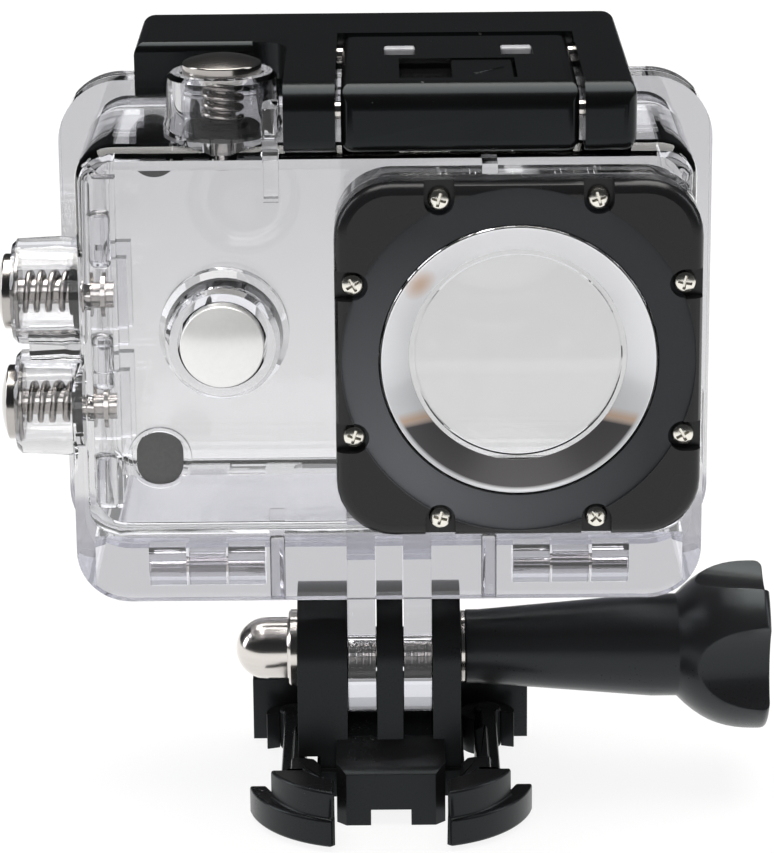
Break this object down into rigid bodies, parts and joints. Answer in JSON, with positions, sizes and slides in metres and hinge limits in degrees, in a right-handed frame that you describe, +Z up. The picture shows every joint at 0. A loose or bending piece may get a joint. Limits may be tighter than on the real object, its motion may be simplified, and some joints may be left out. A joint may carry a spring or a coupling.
{
  "type": "waterproof camera housing",
  "caption": "Clear waterproof housing for a small action camera, with a latched back door, push buttons, a tilting thumb-screw mount and a quick-release buckle.",
  "frame": {"origin": "on the ground plane under the middle of the tilt screw, between the buckle's two rails", "axes": "+X to the right as seen from the front, +Y from the lens to the back door, +Z up"},
  "size_m": [0.0875, 0.0498, 0.0872],
  "materials": {
    "clear_polycarbonate": "clear, polished, faint lilac at its edges",
    "window_glass": "clear, polished",
    "buckle_plastic": "satin black",
    "knob_plastic": "satin black, fine grain",
    "bezel_plastic": "semi-gloss black, fine grain in the dish round the window",
    "latch_plastic": "semi-gloss black",
    "nickel": "nickel plate",
    "polished_steel": "polished stainless steel",
    "spring_steel": "drawn wire",
    "cap_steel": "dark polished steel",
    "pearl_metal": "pearl satin",
    "black_rubber": "matt",
    "grey_silicone": "translucent grey",
    "grey_foam": "matt, felted"
  },
  "bodies": {
    "base": {"buckle_base": "buckle_plastic", "acorn_nut": "polished_steel"},
    "clip_left": {"buckle_clip_left": "buckle_plastic"},
    "clip_right": {"buckle_clip_right": "buckle_plastic"},
    "screw": {"thumb_knob": "knob_plastic", "thumb_bolt": "polished_steel", "thumb_washer": "polished_steel"},
    "housing": {"front_shell": "clear_polycarbonate", "lens_bezel": "bezel_plastic", "bezel_screws": "nickel", "lens_window": "window_glass", "window_gasket": "black_rubber", "sound_pad": "grey_foam", "hinge_pins": "polished_steel", "latch_pin": "polished_steel", "shutter_seal": "black_rubber", "front_seal": "black_rubber", "upper_side_seal": "black_rubber", "lower_side_seal": "black_rubber"},
    "door": {"back_door": "clear_polycarbonate", "door_gasket": "grey_silicone", "door_pad": "black_rubber"},
    "latch": {"latch_frame": "latch_plastic", "lever_pin": "polished_steel"},
    "lever": {"latch_lever": "latch_plastic"},
    "lock": {"slide_lock": "latch_plastic"},
    "shutter_button": {"shutter_cap": "cap_steel", "shutter_plunger": "polished_steel", "shutter_spring": "spring_steel", "shutter_clip": "polished_steel"},
    "front_button": {"front_cap": "pearl_metal", "front_plunger": "polished_steel", "front_spring": "spring_steel", "front_clip": "polished_steel"},
    "upper_side_button": {"upper_side_cap": "cap_steel", "upper_side_plunger": "polished_steel", "upper_side_spring": "spring_steel", "upper_side_clip": "polished_steel"},
    "lower_side_button": {"lower_side_cap": "cap_steel", "lower_side_plunger": "polished_steel", "lower_side_spring": "spring_steel", "lower_side_clip": "polished_steel"}
  },
  "joints": [
    {"name": "clip_left_squeeze", "type": "hinge", "parent": "base", "child": "clip_left", "pos_m": [-0.0116, 0.0086, 0.003], "axis": [0, 0, 1], "range_deg": [0, 4], "stiffness_Nm_per_rad": 0.02, "springref_deg": -1.15},
    {"name": "clip_right_squeeze", "type": "hinge", "parent": "base", "child": "clip_right", "pos_m": [0.0116, 0.0086, 0.003], "axis": [0, 0, -1], "range_deg": [0, 4], "stiffness_Nm_per_rad": 0.02, "springref_deg": -1.15},
    {"name": "screw_turn", "type": "hinge", "parent": "base", "child": "screw", "pos_m": [0, 0, 0.0165], "axis": [1, 0, 0], "continuous": true},
    {"name": "housing_tilt", "type": "hinge", "parent": "base", "child": "housing", "pos_m": [0, 0, 0.0165], "axis": [1, 0, 0], "range_deg": [-20, 35]},
    {"name": "door_swing", "type": "hinge", "parent": "housing", "child": "door", "pos_m": [0, 0.01445, 0.0221], "axis": [-1, 0, 0], "range_deg": [0, 100]},
    {"name": "latch_swing", "type": "hinge", "parent": "housing", "child": "latch", "pos_m": [0, -0.012, 0.0828], "axis": [1, 0, 0], "range_deg": [0, 95]},
    {"name": "lever_lift", "type": "hinge", "parent": "latch", "child": "lever", "pos_m": [0, 0.0119, 0.0841], "axis": [-1, 0, 0], "range_deg": [0, 70]},
    {"name": "lock_slide", "type": "slide", "parent": "lever", "child": "lock", "axis": [-1, 0, 0], "range_m": [0, 0.0054]},
    {"name": "shutter_press", "type": "slide", "parent": "housing", "child": "shutter_button", "axis": [0, 0, -1], "range_m": [0, 0.002], "stiffness_N_per_m": 300, "springref_m": -0.002, "deforming": ["shutter_spring"]},
    {"name": "front_press", "type": "slide", "parent": "housing", "child": "front_button", "axis": [0, 1, 0], "range_m": [0, 0.002], "stiffness_N_per_m": 300, "springref_m": -0.002, "deforming": ["front_spring"]},
    {"name": "upper_side_press", "type": "slide", "parent": "housing", "child": "upper_side_button", "axis": [1, 0, 0], "range_m": [0, 0.002], "stiffness_N_per_m": 300, "springref_m": -0.002, "deforming": ["upper_side_spring"]},
    {"name": "lower_side_press", "type": "slide", "parent": "housing", "child": "lower_side_button", "axis": [1, 0, 0], "range_m": [0, 0.002], "stiffness_N_per_m": 300, "springref_m": -0.002, "deforming": ["lower_side_spring"]}
  ]
}
